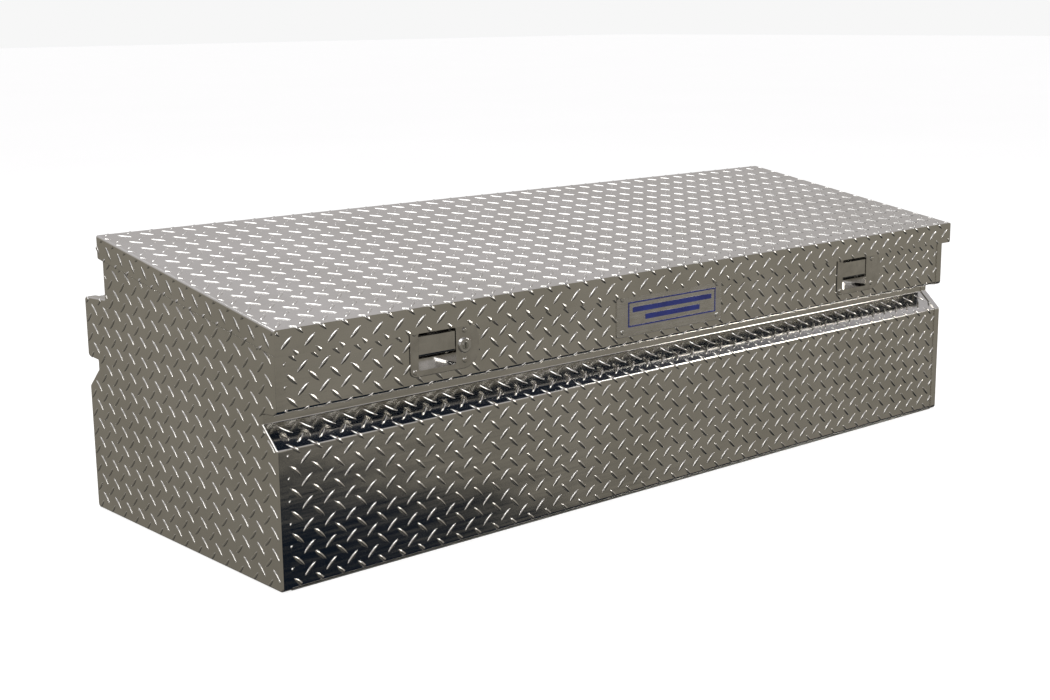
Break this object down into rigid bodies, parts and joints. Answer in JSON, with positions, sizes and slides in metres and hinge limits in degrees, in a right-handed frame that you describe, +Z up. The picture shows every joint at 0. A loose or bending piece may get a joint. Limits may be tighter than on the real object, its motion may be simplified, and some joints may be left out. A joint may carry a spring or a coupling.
{
  "type": "truck tool box",
  "caption": "Long tread-plate chest for a pickup bed, with a sloping hinged lid on gas struts, two paddle latches with sliding bolts, a key lock and grooved walls.",
  "frame": {"origin": "on the ground, under the middle of the closed box's bounding box", "axes": "+X to the right along the length as seen from the latch side, front wall facing -Y, +Z up"},
  "size_m": [1.538, 0.558, 0.4488],
  "materials": {
    "tread_plate": "bright rolled tread plate",
    "mill_aluminium": "mill finish",
    "rivet_aluminium": "satin",
    "nameplate_metal": "brushed, with a dark blue printed frame",
    "hinge_steel": "brushed stainless steel",
    "latch_stainless": "polished stainless steel",
    "zinc_steel": "zinc plated",
    "spring_steel": "oiled spring wire",
    "lock_chrome": "chrome plated",
    "lock_steel": "satin nickel",
    "seal_rubber": "closed-cell sponge rubber",
    "strut_paint": "black paint",
    "strut_chrome": "hard chrome",
    "strut_plastic": "moulded nylon"
  },
  "bodies": {
    "root": {"floor_panel": "mill_aluminium", "front_panel": "tread_plate", "rear_panel": "tread_plate", "end_panel_left": "tread_plate", "end_panel_right": "tread_plate", "weather_seal": "seal_rubber", "nameplate": "nameplate_metal", "nameplate_rivets": "rivet_aluminium", "hinge_body_leaf": "hinge_steel", "hinge_pin": "hinge_steel", "hinge_body_rivets": "rivet_aluminium", "lock_barrel": "lock_chrome", "lock_nut": "zinc_steel", "strut_body_brackets": "mill_aluminium", "latch_dish_left": "latch_stainless", "latch_gasket_left": "seal_rubber", "latch_rivets_left": "latch_stainless", "paddle_pin_left": "zinc_steel", "paddle_spring_left": "spring_steel", "bolt_housing_left": "zinc_steel", "latch_dish_right": "latch_stainless", "latch_gasket_right": "seal_rubber", "latch_rivets_right": "latch_stainless", "paddle_pin_right": "zinc_steel", "paddle_spring_right": "spring_steel", "bolt_housing_right": "zinc_steel"},
    "lid": {"lid_skin": "tread_plate", "hinge_lid_leaf": "hinge_steel", "hinge_lid_rivets": "rivet_aluminium", "lid_stiffener_front": "mill_aluminium", "lid_stiffener_rear": "mill_aluminium", "striker_rivets": "rivet_aluminium", "striker_left": "zinc_steel", "striker_right": "zinc_steel", "strut_lid_brackets": "mill_aluminium"},
    "lock_core": {"lock_plug": "lock_steel", "lock_cam": "zinc_steel", "lock_cam_screw": "zinc_steel"},
    "paddle_body_left": {"paddle_left": "latch_stainless"},
    "bolt_body_left": {"latch_bolt_left": "zinc_steel", "link_pin_left": "zinc_steel"},
    "strut_tube_body_left": {"strut_tube_left": "strut_paint", "strut_lower_socket_left": "strut_plastic"},
    "strut_rod_body_left": {"strut_rod_left": "strut_chrome", "strut_upper_socket_left": "strut_plastic"},
    "paddle_body_right": {"paddle_right": "latch_stainless"},
    "bolt_body_right": {"latch_bolt_right": "zinc_steel", "link_pin_right": "zinc_steel"},
    "strut_tube_body_right": {"strut_tube_right": "strut_paint", "strut_lower_socket_right": "strut_plastic"},
    "strut_rod_body_right": {"strut_rod_right": "strut_chrome", "strut_upper_socket_right": "strut_plastic"}
  },
  "joints": [
    {"name": "lid_hinge", "type": "hinge", "parent": "root", "child": "lid", "pos_m": [0, 0.2119, 0.408], "axis": [-1, 0, 0], "range_deg": [0, 75]},
    {"name": "lock_turn", "type": "hinge", "parent": "root", "child": "lock_core", "pos_m": [-0.437, -0.25, 0.301], "axis": [0, 1, 0], "range_deg": [0, 90]},
    {"name": "paddle_left_pull", "type": "hinge", "parent": "root", "child": "paddle_body_left", "pos_m": [-0.487, -0.2575, 0.322], "axis": [-1, 0, 0], "range_deg": [0, 35.6], "stiffness_Nm_per_rad": 0.4, "springref_deg": -28.65},
    {"name": "bolt_left_slide", "type": "slide", "parent": "root", "child": "bolt_body_left", "axis": [0, -1, 0], "range_m": [0, 0.0105]},
    {"name": "strut_left_swing", "type": "hinge", "parent": "root", "child": "strut_tube_body_left", "pos_m": [-0.732, 0.1884, 0.36], "axis": [-1, 0, 0], "range_deg": [0, 73]},
    {"name": "strut_left_stroke", "type": "slide", "parent": "strut_tube_body_left", "child": "strut_rod_body_left", "axis": [0, -0.9998, 0.0181], "range_m": [0, 0.0642]},
    {"name": "paddle_right_pull", "type": "hinge", "parent": "root", "child": "paddle_body_right", "pos_m": [0.487, -0.2575, 0.322], "axis": [-1, 0, 0], "range_deg": [0, 35.6], "stiffness_Nm_per_rad": 0.4, "springref_deg": -28.65},
    {"name": "bolt_right_slide", "type": "slide", "parent": "root", "child": "bolt_body_right", "axis": [0, -1, 0], "range_m": [0, 0.0105]},
    {"name": "strut_right_swing", "type": "hinge", "parent": "root", "child": "strut_tube_body_right", "pos_m": [0.732, 0.1884, 0.36], "axis": [-1, 0, 0], "range_deg": [0, 73]},
    {"name": "strut_right_stroke", "type": "slide", "parent": "strut_tube_body_right", "child": "strut_rod_body_right", "axis": [0, -0.9998, 0.0181], "range_m": [0, 0.0642]}
  ],
  "couplings": [
    {"joint": "paddle_left_pull", "follows": "bolt_left_slide", "rad_per_m": 58.16},
    {"joint": "strut_left_swing", "follows": "lid_hinge", "ratio": 0.965},
    {"joint": "strut_left_stroke", "follows": "lid_hinge", "m_per_rad": 0.048784},
    {"joint": "paddle_right_pull", "follows": "bolt_right_slide", "rad_per_m": 58.16},
    {"joint": "strut_right_swing", "follows": "lid_hinge", "ratio": 0.965},
    {"joint": "strut_right_stroke", "follows": "lid_hinge", "m_per_rad": 0.048784}
  ]
}
